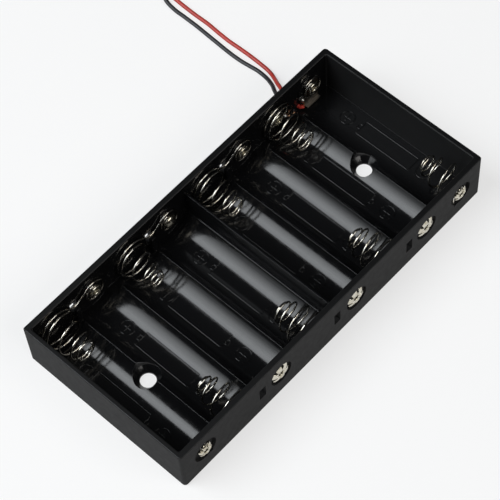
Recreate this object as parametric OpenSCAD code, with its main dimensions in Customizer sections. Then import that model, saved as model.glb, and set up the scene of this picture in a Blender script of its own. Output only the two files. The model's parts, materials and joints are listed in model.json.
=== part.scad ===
// Open-top holder for eight AA cells lying side by side, wired in series.
// +X runs along the row of cells, +Y points to the wall that the leads leave by, +Z is up.
// The origin is the centre of the flat underside. Sizes are in millimetres.

/* [Cells] */
// Diameter of one cell
cell_d = 14.5; // [13.5:0.1:14.8]
// Length of one cell over its terminals
cell_len = 50.5; // [46:0.5:54]
// Distance between the axes of neighbouring cells
pitch = 15.2; // [15:0.1:17]
// Cells on each side of the middle wall
group_cells = 4; // [4]

/* [Tray] */
// Space for the contacts beyond the cell's length
contact_space = 5.6; // [5:0.1:8]
// Thickness of the two long walls at the rim
long_wall = 1.95; // [1.8:0.05:3]
// Thickness of the two end walls at the rim
end_wall = 1.5; // [1.2:0.05:3]
// Height of the tray
tray_h = 17.6; // [16:0.1:20]
// Thickness of the floor under the middle of a cell
floor_t = 2; // [1.8:0.1:3]
// Radius of the trough that a cell lies in
trough_r = 9.3; // [8.8:0.1:11]
// Height of the middle wall's top
middle_h = 14.1; // [11:0.1:15]
// Thickness of the middle wall at its foot
middle_foot = 1; // [0.8:0.1:1.6]
// Thickness of the middle wall at its top
middle_top = 0.55; // [0.4:0.05:0.8]
// Width that each side wall leans out over its height
draft = 0.37; // [0:0.01:0.6]
// Radius of the tray's vertical corners
corner_r = 1.5; // [0.8:0.1:2.5]
// Radius of the outer rim and base edges
edge_r = 0.3; // [0.1:0.05:0.5]
// Radius of the corners inside the tray
inner_corner_r = 0.6; // [0.3:0.1:1]
// Bevel along the inner edge of the rim
rim_bevel = 0.25; // [0.1:0.05:0.4]

/* [Mounting holes] */
// Diameter of the through-holes
mount_d = 4.8; // [3.5:0.1:5.2]
// Diameter of the pockets for the screw heads
pocket_d = 8.3; // [7:0.1:9]
// Height of the straight land under the countersink
mount_land = 0.5; // [0.3:0.1:0.8]

/* [Contacts] */
// Diameter of the spring wire
wire_d = 0.65; // [0.5:0.05:0.8]
// Free reach of a contact spring from its wall
spring_len = 12.5; // [11:0.1:14]
// Radius of a spring's widest turn
spring_base_r = 5.9; // [5.6:0.1:6.2]
// Radius of a spring's tip turns
spring_tip_r = 2.4; // [2.2:0.1:3]
// Radius of the positive contact's ring at its foot, at the middle of its wire
ring_r = 3.3; // [3.1:0.1:3.8]
// Further reach of the ring's wire where the link meets it
ring_lead_in = 1.1; // [0.5:0.1:1.3]
// Height of the positive contacts above the cell's axis
ring_rise = 0.3; // [0:0.1:0.6]

/* [Rivets] */
// Diameter of the rivets' shanks
rivet_d = 2.6; // [2.4:0.1:3]
// Radius of a rivet's rolled head
head_r = 2.15; // [2.05:0.05:2.6]
// Radius over the clinched petals
petal_r = 3.7; // [3.2:0.1:3.9]
// Radius over the petals where the link wire is held
small_petal_r = 3; // [2.6:0.1:3.2]
// Petals on each rivet
petals = 6; // [5:1:8]
// Diameter of the round recesses in the outer faces
recess_d = 8.2; // [8:0.1:9]
// Depth of the recesses
recess_depth = 0.7; // [0.5:0.05:0.8]
// Depth of the recesses at the link wire
deep_recess = 1; // [0.9:0.05:1.1]

/* [Leads] */
// Diameter of the leads over their insulation
lead_d = 1.3; // [1.1:0.05:1.6]
// Height of the lead holes in the rear wall
lead_hole_z = 4.7; // [4.4:0.1:5]
// Diameter of the link wire under the base
link_d = 0.6; // [0.4:0.05:0.7]

/* [Hidden] */

$fn = 96;
tiny = 0.01;
fit = 0.05;
solid_overlap = 0.3;

inner_l = 2 * group_cells * pitch + middle_foot;
inner_w = cell_len + contact_space;
tray_l = inner_l + 2 * end_wall;
tray_w = inner_w + 2 * long_wall;
wall_y = inner_w / 2;
trough_z = floor_t + trough_r;
cusp_z = trough_z - sqrt(trough_r * trough_r - pitch * pitch / 4);
crest_z = cusp_z - 0.2;
cell_z = floor_t + cell_d / 2;
ring_z = cell_z + ring_rise;

// Place of a cell's axis, counted from 1 at the -X end
function cell_x(n) = (n - group_cells - 0.5) * pitch + (n > group_cells ? 1 : -1) * middle_foot / 2;

// Place of the divider between cell n and the next one
function divider_x(n) = (cell_x(n) + cell_x(n + 1)) / 2;

// Y of the outer face of a long wall at height z
function outer_y(z) = tray_w / 2 - draft * (tray_h - z) / tray_h;

cells = 2 * group_cells;
dividers = [for (n = [1:cells - 1]) if (n != group_cells) n];
mount_dividers = [1, cells - 1];

// Contacts: the first number is the spring's cell, and the ring is at the next one
rear_pairs = [1, 3, 5];
front_pairs = [2, 4, 6];
rear_rivets = [2, 4, 6, 7, 8];
front_rivets = [1, 3, 5, 7, 8];
link_rivets = [1, 8];

pad_r = 5.3;
pad_t = 0.3;
tag_t = 0.3;
ring_y = wall_y - pad_t - wire_d / 2 - fit;
base_y = ring_y;
eye_y = wall_y - wire_d / 2 - fit;
tagged_base_y = eye_y - tag_t;
tagged_ring_y = ring_y - tag_t;

divider_gap = 4;
divider_gap_w = 5.2;
divider_gap_z = lead_hole_z - lead_d / 2 - 0.5;
post_t = 1.6;
post_len = 2.2;
post_z = cell_z + 1.15;
window_w = 2.5;
window_h = 5;
window_y = base_y - wire_d / 2 - 2 * fit;

// Unit vector along v
function unit(v) = v / norm(v);

// Direction of path p at point i
function path_dir(p, i) =
    unit(p[min(i + 1, len(p) - 1)] - p[max(i - 1, 0)]);

// A vector across t
function across(t) = unit(cross(t, abs(t.z) < 0.9 ? [0, 0, 1] : [1, 0, 0]));

// A vector across the path at each point, carried along without twist
function path_sides(p) = [
    for (i = 0, t = path_dir(p, 0), u = across(t);
         i < len(p);
         i = i + 1, t = path_dir(p, min(i, len(p) - 1)), u = unit(u - t * (u * t)))
    u
];

// Points of one round section
function section(c, t, u, r, sides) =
    let (w = cross(t, u))
    [for (k = [0:sides - 1]) c + r * (cos(360 * k / sides) * u + sin(360 * k / sides) * w)];

// Round wire along a list of points
module sweep(p, r, sides = 6) {
    u = path_sides(p);
    n = len(p);
    points = [for (i = [0:n - 1]) each section(p[i], path_dir(p, i), u[i], r, sides)];
    walls = [
        for (i = [0:n - 2], k = [0:sides - 1])
        let (j = (k + 1) % sides)
        [i * sides + k, (i + 1) * sides + k, (i + 1) * sides + j, i * sides + j]
    ];
    first = [for (k = [0:sides - 1]) k];
    last = [for (k = [sides - 1:-1:0]) (n - 1) * sides + k];
    polyhedron(points, concat(walls, [first, last]), convexity = 10);
}

// Points of an arc in the X-Z plane at depth y
function arc_xz(cx, cz, r, from, to, steps, y) =
    [for (i = [0:steps]) let (a = from + (to - from) * i / steps) [cx + r * cos(a), y, cz + r * sin(a)]];

// Flat rectangle with round corners
module rounded_rect(l, w, r) {
    square([l - 2 * r, w], center = true);
    square([l, w - 2 * r], center = true);
    for (sx = [-1, 1], sy = [-1, 1])
        translate([sx * (l / 2 - r), sy * (w / 2 - r)])
            circle(r);
}

// Tray: outer body, from four round corner posts that lean out
module corner_post() {
    steps = 4;
    middle_r = corner_r - edge_r;
    low = [for (i = [0:steps]) let (a = 90 * i / steps) [middle_r + edge_r * sin(a), edge_r - edge_r * cos(a)]];
    high_z = tray_h - edge_r;
    high = [for (i = [0:steps]) let (a = 90 * i / steps) [middle_r + edge_r * cos(a), high_z + edge_r * sin(a)]];
    rotate_extrude($fn = 32)
        polygon(concat([[0, 0]], low, high, [[0, tray_h]]));
}

module leaning_post(sx, sy) {
    x = tray_l / 2 - corner_r;
    y = tray_w / 2 - corner_r;
    multmatrix([
        [1, 0, sx * draft / tray_h, sx * (x - draft)],
        [0, 1, sy * draft / tray_h, sy * (y - draft)],
        [0, 0, 1, 0]
    ])
        corner_post();
}

module outer_body() {
    hull()
        for (sx = [-1, 1], sy = [-1, 1])
            leaning_post(sx, sy);
}

// Space above the dividers, over the whole inside
module upper_space() {
    translate([0, 0, crest_z])
        linear_extrude(tray_h)
            rounded_rect(inner_l, inner_w, inner_corner_r);
}

// Round troughs that the cells lie in
module troughs() {
    for (side = [-1, 1])
        intersection() {
            translate([side * (inner_l + middle_foot) / 4, 0, 0])
                linear_extrude(2 * tray_h)
                    rounded_rect((inner_l - middle_foot) / 2, inner_w, inner_corner_r);
            union() {
                for (n = [1:cells])
                    translate([cell_x(n), 0, trough_z])
                        rotate([90, 0, 0])
                            cylinder(r = trough_r, h = inner_w + 2 * tiny, center = true);
                translate([side * (cell_x(cells) + inner_l / 2) / 2, 0, floor_t + tray_h / 2])
                    cube([inner_l / 2 - cell_x(cells), inner_w + 2 * tiny, tray_h], center = true);
            }
        }
}

// Thin wall between the two groups, thinner at its top
module middle_wall() {
    foot = middle_foot / 2;
    top = middle_top / 2;
    rotate([90, 0, 0])
        linear_extrude(inner_w + solid_overlap, center = true)
            polygon([
                [-foot, floor_t / 2], [foot, floor_t / 2], [foot, crest_z],
                [top, middle_h], [-top, middle_h], [-foot, crest_z]
            ]);
}

// Bevel along the inner rim edge
module rim_bevel_cut() {
    b = rim_bevel;
    hull() {
        translate([0, 0, tray_h - b])
            linear_extrude(tiny)
                rounded_rect(inner_l, inner_w, inner_corner_r, $fn = 32);
        translate([0, 0, tray_h + b])
            linear_extrude(tiny)
                rounded_rect(inner_l + 4 * b, inner_w + 4 * b, inner_corner_r + 2 * b, $fn = 32);
    }
}

// Gap at each end of a low divider, where the contact wires cross
module divider_end_gaps() {
    for (n = dividers, side = [-1, 1])
        translate([divider_x(n) - divider_gap_w / 2, side > 0 ? wall_y - divider_gap : -wall_y, divider_gap_z])
            cube([divider_gap_w, divider_gap, tray_h]);
}

// Round raised pad behind a riveted contact
module pad(n, side) {
    translate([cell_x(n), side * (wall_y + solid_overlap), ring_z])
        rotate([side * 90, 0, 0])
            cylinder(r = pad_r, h = pad_t + solid_overlap);
}

// Post that the link of a double contact rests on
module post(n, side) {
    y = wall_y - post_len;
    translate([divider_x(n) - post_t / 2, side > 0 ? y : -wall_y - solid_overlap, floor_t / 2])
        cube([post_t, post_len + solid_overlap, post_z - floor_t / 2]);
}

// Window through the wall behind a post, deep enough for the link
module window(n, side) {
    depth = tray_w / 2 + tiny - window_y;
    translate([divider_x(n), side * (window_y + depth / 2), cell_z])
        cube([window_w, depth, window_h], center = true);
}

// Recess and shank hole of one rivet
module rivet_seat(n, side, depth) {
    translate([cell_x(n), 0, ring_z])
        rotate([side * -90, 0, 0]) {
            translate([0, 0, outer_y(ring_z) - depth])
                cylinder(d = recess_d, h = long_wall);
            cylinder(d = rivet_d + 2 * fit, h = tray_w);
        }
}

function is_link(n, side) = side < 0 && (n == link_rivets[0] || n == link_rivets[1]);
function seat_depth(n, side) = is_link(n, side) ? deep_recess : recess_depth;

// Countersunk screw hole in a pocket through the divider
module mount_hole(n) {
    cone_h = (pocket_d - mount_d) / 2;
    translate([divider_x(n), 0, 0]) {
        translate([0, 0, -tiny])
            cylinder(d = mount_d, h = floor_t + tiny);
        translate([0, 0, mount_land])
            cylinder(d1 = mount_d, d2 = pocket_d, h = cone_h);
        translate([0, 0, mount_land + cone_h])
            cylinder(d = pocket_d, h = tray_h);
    }
}

// Groove under a divider, so that the moulding has an even wall
core_r = 1.5;
core_z = crest_z - floor_t - core_r;
core_end = 22;
core_wall = 2;
module core_groove(n) {
    is_mount = n == mount_dividers[0] || n == mount_dividers[1];
    inner_end = is_mount ? pocket_d / 2 + core_wall : -core_end;
    sides = is_mount ? [-1, 1] : [1];
    for (side = sides)
        translate([divider_x(n), side > 0 ? core_end : -inner_end, 0]) {
            translate([0, 0, core_z])
                rotate([90, 0, 0])
                    cylinder(r = core_r, h = core_end - inner_end);
            translate([-core_r, inner_end - core_end, -tiny])
                cube([2 * core_r, core_end - inner_end, core_z + tiny]);
        }
}

// Duct and groove for the link wire in the front wall and under it
duct_r = 0.5;
duct_y = -(wall_y + 0.35 + duct_r);
duct_x = cell_x(cells) - 2.2;
duct_z = ring_z - 2.4;
groove_w = 1.1;
groove_h = 1.4;
groove_y = duct_y + 0.5;
module link_ways() {
    translate([-duct_x - duct_r, groove_y - groove_w / 2, -tiny])
        cube([2 * (duct_x + duct_r), groove_w, groove_h + tiny]);
    for (side = [-1, 1])
        translate([side * duct_x, 0, 0]) {
            translate([0, duct_y, groove_h / 2])
                cylinder(r = duct_r, h = duct_z - groove_h / 2);
            translate([-duct_r, duct_y - long_wall, duct_z - 1.6])
                cube([2 * duct_r, long_wall, 1.6]);
        }
}

black_cell = cells - 1;
red_cell = cells;
lead_spacing = 2.4;
lead_hole_r = lead_d / 2 + 2 * fit;
black_hole_x = divider_x(black_cell);
red_hole_x = black_hole_x + lead_spacing;
module lead_holes() {
    for (x = [black_hole_x, red_hole_x])
        translate([x, wall_y - tiny, lead_hole_z])
            rotate([-90, 0, 0])
                cylinder(r = lead_hole_r, h = 2 * long_wall);
}

module tray() {
    color("#1c1c1e")
        difference() {
            union() {
                difference() {
                    outer_body();
                    upper_space();
                    troughs();
                    divider_end_gaps();
                }
                middle_wall();
                for (n = rear_rivets)
                    if (n != black_cell)
                        pad(n, 1);
                for (n = front_rivets)
                    if (n != red_cell)
                        pad(n, -1);
                for (n = rear_pairs)
                    post(n, 1);
                for (n = front_pairs)
                    post(n, -1);
            }
            rim_bevel_cut();
            for (n = mount_dividers)
                mount_hole(n);
            for (n = rear_rivets)
                rivet_seat(n, 1, recess_depth);
            for (n = front_rivets)
                rivet_seat(n, -1, seat_depth(n, -1));
            for (n = rear_pairs)
                window(n, 1);
            for (n = front_pairs)
                window(n, -1);
            for (n = dividers)
                core_groove(n);
            link_ways();
            lead_holes();
        }
}

// Contact springs: turns from the wall to the tip, with the share of the free length and of the radius
turns = 5;
steps_per_turn = 13;
spring_z = cell_z - 0.25;
function start_angle(side) = side > 0 ? 42 : 12;
rear_rise = [[0, 0], [0.8, 0.05], [1.6, 0.21], [2.4, 0.49], [3.2, 0.76], [4, 0.93], [turns, 1]];
rear_taper = [[0, 1], [0.8, 0.98], [1.6, 0.8], [2.4, 0.56], [3.2, 0.34], [4, 0.12], [turns, 0]];
front_rise = [[0, 0], [0.7, 0.05], [1.4, 0.28], [2.1, 0.52], [2.8, 0.75], [3.6, 0.92], [4.3, 0.96], [turns, 1]];
front_taper = [
    [0, 0.98], [0.7, 0.98], [1.4, 0.91], [2.1, 0.77], [2.8, 0.54], [3.6, 0.28], [4.3, 0.11], [turns, 0]
];

// Point of a spring, at turn t, on the wall given by side. All are wound the same way, away from the wall
function spring_point(n, side, t, y0) =
    let (
        rise = lookup(t, side > 0 ? rear_rise : front_rise),
        taper = lookup(t, side > 0 ? rear_taper : front_taper),
        r = spring_tip_r + (spring_base_r - spring_tip_r) * taper,
        a = start_angle(side) + side * 360 * t,
        y = y0 - rise * (spring_len - wire_d / 2 - wall_y + y0)
    )
    [cell_x(n) + r * cos(a), side * y, spring_z + r * sin(a)];

function spring_path(n, side, y0) = [
    for (i = [round(turns * steps_per_turn):-1:0])
    spring_point(n, side, i / steps_per_turn, y0)
];

// The ring of a positive contact: one wide turn, then a close one round the rivet, under its head
ring_start = 130;
ring_turns = 2.15;
ring_steps = 15;
eye_r = rivet_d / 2 + wire_d / 2 + 2 * fit;
ring_spiral = [
    [0, ring_r + ring_lead_in], [0.15, ring_r + 0.7 * ring_lead_in], [0.36, ring_r + 0.2 * ring_lead_in],
    [0.6, ring_r], [0.85, ring_r - 0.15], [1.05, (2 * ring_r + eye_r) / 3], [1.3, eye_r], [ring_turns, eye_r]
];
function ring_path(n, side, y) = [
    for (i = [0:round(ring_turns * ring_steps)])
    let (t = i / ring_steps, r = lookup(t, ring_spiral), a = ring_start - 360 * t)
    [cell_x(n) + r * cos(a), side * y, ring_z + r * sin(a)]
];

// Link from the spring's foot, over the post, to the ring
function link_path(n, side) =
    let (
        foot = spring_point(n, side, 0, base_y),
        rest_z = post_z + wire_d / 2 + fit,
        over = (wire_d + post_t) / 2,
        start = ring_path(n + 1, side, ring_y)[0],
        leave = side > 0 ? [1.2, -1.2] : [0.2, 0.5]
    )
    [
        [foot.x + leave.x, side * base_y, foot.z + leave.y],
        [divider_x(n) - over, side * base_y, rest_z + 0.2],
        [divider_x(n) + over, side * base_y, rest_z],
        (start + [divider_x(n) + over, side * base_y, rest_z]) / 2 - [0, 0, 0.15]
    ];

module double_contact(n, side) {
    path = concat(spring_path(n, side, base_y), link_path(n, side), ring_path(n + 1, side, ring_y));
    color("#c9c4b8")
        sweep(path, wire_d / 2);
}

// A spring that is riveted by itself ends in an eye round its rivet
bend_step = 22;
eye_sweep = 300;
module single_spring(n, side, y0) {
    foot = spring_point(n, side, 0, y0);
    reach = norm([foot.x - cell_x(n), foot.z - ring_z]);
    eye_start = start_angle(side) - side * 4 * bend_step;
    eye = arc_xz(cell_x(n), ring_z, eye_r, eye_start, eye_start - side * eye_sweep, 14, side * y0);
    bend = [
        for (f = [1:3])
        let (r = reach + (eye_r - reach) * f / 4, a = start_angle(side) - side * bend_step * f)
        [cell_x(n) + r * cos(a), side * y0, ring_z + r * sin(a)]
    ];
    color("#c9c4b8")
        sweep(concat(spring_path(n, side, y0), bend, eye), wire_d / 2);
}

// A positive contact that stands alone: one ring of wire
module single_ring(n, side, y) {
    color("#c9c4b8")
        sweep(ring_path(n, side, y), wire_d / 2);
}

// Rivet: an eyelet with a rolled head inside, a hollow shank, and petals clinched into the recess outside
head_t = 0.5;
rivet_wall = 0.35;
module rivet(n, side, head_y) {
    small = is_link(n, side);
    r_out = small ? small_petal_r : petal_r;
    seat_y = outer_y(ring_z) - seat_depth(n, side);
    shank_r = rivet_d / 2;
    bore_r = shank_r - rivet_wall;
    lift = small ? link_d + 2 * fit : fit;
    petal_y = seat_y + lift;
    roll_r = (head_r - bore_r) / 2;
    roll = [
        for (i = [0:8])
        let (a = 180 * i / 8)
        [bore_r + roll_r - roll_r * cos(a), head_y - head_t * sin(a)]
    ];
    color("#d2c9b4")
        translate([cell_x(n), 0, ring_z])
            rotate([side * -90, 0, 0])
                difference() {
                    rotate_extrude()
                        polygon(concat(roll, [
                            [shank_r, head_y], [shank_r, petal_y], [r_out - 0.5, petal_y],
                            [r_out, petal_y + 0.2], [r_out - 0.1, petal_y + 0.45], [r_out - 0.6, petal_y + 0.3],
                            [bore_r + 0.5, petal_y + 0.3], [bore_r, petal_y + 0.1]
                        ]));
                    for (k = [0:petals - 1])
                        rotate([0, 0, 360 * (k + 0.5) / petals])
                            translate([shank_r + 0.6, 0, petal_y - fit])
                                linear_extrude(long_wall)
                                    polygon([[0, 0], [r_out, -0.28 * r_out], [r_out, 0.28 * r_out]]);
                }
}

// Height on the rivet's axis at which a head clears the contact under it
ring_head = ring_y - wire_d / 2 - fit;
tagged_ring_head = tagged_ring_y - wire_d / 2 - fit;
rear_eye_head = tagged_base_y - wire_d / 2 - fit;
front_eye_head = eye_y - wire_d / 2 - fit;

// Solder tag of the negative lead: a flat strip under the eye of spring 7
tag_w = 2.6;
tag_reach = 4.1;
tag_angle = -38;
tag_eye_w = 1.3;
module solder_tag_7() {
    color("#bdb9b0")
        translate([cell_x(black_cell), wall_y - fit / 2, ring_z])
            rotate([90, 0, 0])
                linear_extrude(tag_t)
                    difference() {
                        union() {
                            circle(r = rivet_d / 2 + tag_eye_w);
                            rotate(tag_angle) {
                                translate([0, -tag_w / 2])
                                    square([tag_reach, tag_w]);
                                translate([tag_reach, 0])
                                    circle(d = tag_w);
                            }
                        }
                        circle(d = rivet_d + 2 * fit);
                    }
}

// Solder tag of the positive lead: a wide strip behind ring 8, with a lug for the lead. Its foot is bent out
// and stands in the trough
lug_w = 2.2;
lug_h = 2;
foot_w = 5.8;
foot_len = 1.1;
foot_z = trough_z - sqrt(trough_r * trough_r - foot_w * foot_w / 4) + fit;
lug_drop = 2.6;
lug_z = ring_z - lug_drop;
tag_8_y = wall_y - pad_t - fit / 2;
module solder_tag_8() {
    x = cell_x(red_cell);
    color("#bdb9b0") {
        difference() {
            translate([x - foot_w / 2, tag_8_y - tag_t, foot_z]) {
                cube([foot_w, tag_t, ring_z + rivet_d - foot_z]);
                translate([-lug_w, 0, lug_z - lug_h / 2 - foot_z])
                    cube([lug_w + tiny, tag_t, lug_h]);
            }
            translate([cell_x(red_cell), wall_y, ring_z])
                rotate([90, 0, 0])
                    cylinder(d = rivet_d + 2 * fit, h = long_wall);
        }
        translate([x - foot_w / 2, tag_8_y - tag_t - foot_len, foot_z])
            cube([foot_w, foot_len + tiny, tag_t]);
    }
}

// Leads: from the tags out of the wall, down to the table and away
lead_r = lead_d / 2;
black_route = [
    [46.1, 27.8, 4.7], [46.1, 29.5, 4.7], [46.1, 31, 4.7], [46.3, 33, 4.6], [47, 35, 4.3],
    [48.1, 37, 3.6], [49, 38.5, 3], [49.9, 39.8, 2.4], [50.8, 41.5, 1.6], [51.6, 43.6, 1],
    [52, 45.9, 0.7], [52.1, 48.2, 0.65], [51.8, 51, 0.65], [51.5, 54, 0.65], [51.4, 57, 0.65],
    [51.5, 60.6, 0.65], [51.7, 64, 0.65], [52, 69, 0.65], [52.3, 74, 0.65], [52.4, 79, 0.65],
    [52.5, 84, 0.65], [53.2, 88, 0.95], [54.3, 90.3, 1.5], [55.3, 92.5, 1.95], [55.8, 94, 1.95],
    [56, 95.5, 1.95]
];
red_route = [
    [49.6, 26.65, 5.85], [49.35, 26.7, 5.4], [49, 26.8, 5.05], [48.65, 27.2, 4.8], [48.5, 27.8, 4.7],
    [48.5, 29.5, 4.7], [48.5, 31, 4.7], [48.8, 33, 4.5], [49.6, 35.2, 4.1], [50.6, 37.4, 3.4],
    [51.5, 39.3, 2.6], [52.4, 40.9, 1.8], [53.2, 42.4, 1.1], [53.9, 44.1, 0.7], [54.3, 46, 0.65],
    [54.5, 48.5, 0.65], [54.7, 53, 0.65], [54.7, 58, 0.65], [54.6, 62, 0.65], [54.8, 66.5, 0.65],
    [55.2, 72, 0.65], [55.2, 77, 0.65], [55.4, 83, 0.65], [55.8, 89, 0.65], [56, 93, 0.65],
    [56, 95.5, 0.65]
];

// Stripped ends of the leads, bent from the hole to the tag
conductor_r = 0.3;
joint_reach = tag_reach + 0.6;
black_joint = [
    cell_x(black_cell) + joint_reach * cos(tag_angle),
    wall_y - tag_t - conductor_r - fit,
    ring_z + joint_reach * sin(tag_angle)
];
red_joint = [cell_x(red_cell) - foot_w / 2 - lug_w / 2, tag_8_y - tag_t - conductor_r - fit, lug_z];

// The black one runs close to the wall, behind the spring's first turn
black_tip = [black_hole_x, wall_y - 0.25, lead_hole_z];
black_dir = [0, -1, 0];
strip_y = wall_y - conductor_r - 4 * fit;
black_strip = [
    black_tip + fit * black_dir,
    black_tip + conductor_r * black_dir,
    [black_hole_x - 0.5, wall_y - 0.8, lead_hole_z],
    [black_hole_x - 1.5, strip_y - 0.15, lead_hole_z + 0.05],
    [black_hole_x - 2.8, strip_y, lead_hole_z + 0.3],
    black_joint + [0.5, 0, -0.65],
    black_joint
];
red_tip = [red_hole_x + 1.1, wall_y - 1.4, lead_hole_z + 1.15];
red_dir = unit([0.25, -0.05, 0.45]);
red_strip = [red_tip + fit * red_dir, red_tip + conductor_r * red_dir, red_joint];

module conductor_black() {
    color("#b08050")
        sweep(black_strip, conductor_r);
}

module conductor_red() {
    color("#b08050")
        sweep(red_strip, conductor_r);
}

// Solder over the end of a conductor
bead_r = 0.9;
module solder_bead(p, back_y) {
    color("#d9d9d6")
        difference() {
            translate([p.x, back_y, p.z])
                sphere(bead_r, $fn = 32);
            translate([p.x - 2 * bead_r, back_y, p.z - 2 * bead_r])
                cube(4 * bead_r);
        }
}

module solder_7() {
    solder_bead(black_joint, wall_y - tag_t - fit / 2);
}

module solder_8() {
    solder_bead(red_joint, tag_8_y - tag_t);
}

// Link wire from ring 1 to spring 8: an eye round each rivet, down the duct and along the groove
link_eye_r = rivet_d / 2 + link_d / 2 + fit;
link_eye_y = -(outer_y(ring_z) - deep_recess + link_d / 2 + fit);
link_drop = ring_z - recess_d / 2 + 1;
link_eye_from = -110;
link_eye_to = 170;
function link_end() = concat(
    arc_xz(cell_x(cells), ring_z, link_eye_r, link_eye_from, link_eye_to, 14, link_eye_y),
    [
        [duct_x, link_eye_y, ring_z - 1],
        [duct_x, link_eye_y, link_drop + 0.5],
        [duct_x, (link_eye_y + duct_y) / 2, link_drop - 0.4],
        [duct_x, duct_y, link_drop - 1.3],
        [duct_x, duct_y, groove_h + 0.5],
        [duct_x - 0.2, (duct_y + groove_y) / 2, groove_h / 2 + 0.4],
        [duct_x - 1, groove_y, groove_h / 2]
    ]
);
module link_wire() {
    half = link_end();
    other = [for (i = [len(half) - 1:-1:0]) [-half[i].x, half[i].y, half[i].z]];
    color("#c9c9c4")
        sweep(concat(half, other), link_d / 2);
}

// Coils: the length of the leads that is put away, tied for storage
coil_outer_r = 7.8;
coil_inner_r = coil_outer_r - lead_d;
coil_side_x = 56;
coil_x = coil_side_x + coil_outer_r;
coil_y = 95.5;
tie_w = 2.4;
tie_t = 0.4;
bare_d = 0.7;
bare_len = 5;
bare_x = 3.6;
bare_start = 4;

module lead_black() {
    color("#222222")
        sweep(black_route, lead_r, 8);
}

module lead_red() {
    color("#b3261e")
        sweep(red_route, lead_r, 8);
}

// Outer shape of one coiled lead: turns side by side, in the given layer
module coil(layer) {
    translate([coil_x, coil_y, layer * lead_d])
        rotate_extrude()
            translate([coil_inner_r - lead_r, 0])
                square([coil_outer_r - coil_inner_r + lead_d, lead_d]);
}

module coil_red() {
    color("#b3261e")
        coil(0);
}

module coil_black() {
    color("#222222")
        coil(1);
}

// Strip tied round both coiled leads, on the side away from the holder
module coil_tie() {
    bundle_w = coil_outer_r - coil_inner_r + lead_d;
    color("#e8e8e4")
        translate([coil_x, coil_y + coil_inner_r - lead_r, 0])
            difference() {
                translate([-tie_w / 2, -tie_t - fit, 0])
                    cube([tie_w, bundle_w + 2 * (tie_t + fit), 2 * lead_d + tie_t + fit]);
                translate([-tie_w, -4 * fit, -tiny])
                    cube([2 * tie_w, bundle_w + 5 * fit, 2 * lead_d + fit + tiny]);
            }
}

// Tinned end of a lead, inside the coil
module bare_end(angle, z) {
    color("#c9c9c4")
        translate([coil_x, coil_y, z])
            rotate([0, 0, angle])
                translate([bare_x, -bare_start, 0])
                    rotate([-90, 0, 0])
                        cylinder(d = bare_d, h = bare_len);
}

module bare_end_red() {
    bare_end(0, lead_r);
}

module bare_end_black() {
    bare_end(180, lead_r);
}

tray();
double_contact(1, 1);  // contact_1_2
double_contact(3, 1);  // contact_3_4
double_contact(5, 1);  // contact_5_6
double_contact(2, -1);  // contact_2_3
double_contact(4, -1);  // contact_4_5
double_contact(6, -1);  // contact_6_7
single_spring(7, 1, tagged_base_y);  // spring_7
single_spring(8, -1, eye_y);  // spring_8
single_ring(1, -1, ring_y);  // ring_1
single_ring(8, 1, tagged_ring_y);  // ring_8
rivet(1, -1, ring_head);  // rivet_front_1
rivet(3, -1, ring_head);  // rivet_front_3
rivet(5, -1, ring_head);  // rivet_front_5
rivet(7, -1, ring_head);  // rivet_front_7
rivet(8, -1, front_eye_head);  // rivet_front_8
rivet(2, 1, ring_head);  // rivet_rear_2
rivet(4, 1, ring_head);  // rivet_rear_4
rivet(6, 1, ring_head);  // rivet_rear_6
rivet(7, 1, rear_eye_head);  // rivet_rear_7
rivet(8, 1, tagged_ring_head);  // rivet_rear_8
solder_tag_7();
solder_tag_8();
solder_7();
solder_8();
link_wire();
lead_black();
lead_red();
conductor_black();
conductor_red();
coil_black();
coil_red();
coil_tie();
bare_end_black();
bare_end_red();
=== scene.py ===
"""Looks of an eight-cell holder: black tray, nickel-plated wire contacts, eyelets, tags and two leads.

Lengths are in metres in the CAD model's frame: +X along the row of cells, +Y to the leads' wall, +Z up.
"""

import json
import math

import bpy
from mathutils import Matrix, Vector

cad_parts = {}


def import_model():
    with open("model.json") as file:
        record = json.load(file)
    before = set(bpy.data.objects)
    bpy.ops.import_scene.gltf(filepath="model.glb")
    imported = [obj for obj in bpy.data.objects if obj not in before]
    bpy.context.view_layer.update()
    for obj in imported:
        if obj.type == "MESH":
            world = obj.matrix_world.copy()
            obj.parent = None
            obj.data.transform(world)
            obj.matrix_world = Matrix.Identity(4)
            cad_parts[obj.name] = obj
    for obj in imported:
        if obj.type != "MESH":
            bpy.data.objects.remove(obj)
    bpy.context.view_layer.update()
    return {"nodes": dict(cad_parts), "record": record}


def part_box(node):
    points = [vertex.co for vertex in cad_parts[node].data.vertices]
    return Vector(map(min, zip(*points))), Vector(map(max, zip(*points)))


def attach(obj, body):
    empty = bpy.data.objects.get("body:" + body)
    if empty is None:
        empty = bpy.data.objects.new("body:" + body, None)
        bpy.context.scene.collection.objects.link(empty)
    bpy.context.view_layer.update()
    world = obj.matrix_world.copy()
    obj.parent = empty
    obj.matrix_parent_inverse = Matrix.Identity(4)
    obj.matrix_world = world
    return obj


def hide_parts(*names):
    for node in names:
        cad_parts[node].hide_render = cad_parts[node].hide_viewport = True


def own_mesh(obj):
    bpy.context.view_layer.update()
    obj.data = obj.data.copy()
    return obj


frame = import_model()
nodes = frame["nodes"]

MM = 0.001
CELLS = 8

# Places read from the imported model
tray_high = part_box("tray")[1]

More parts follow.
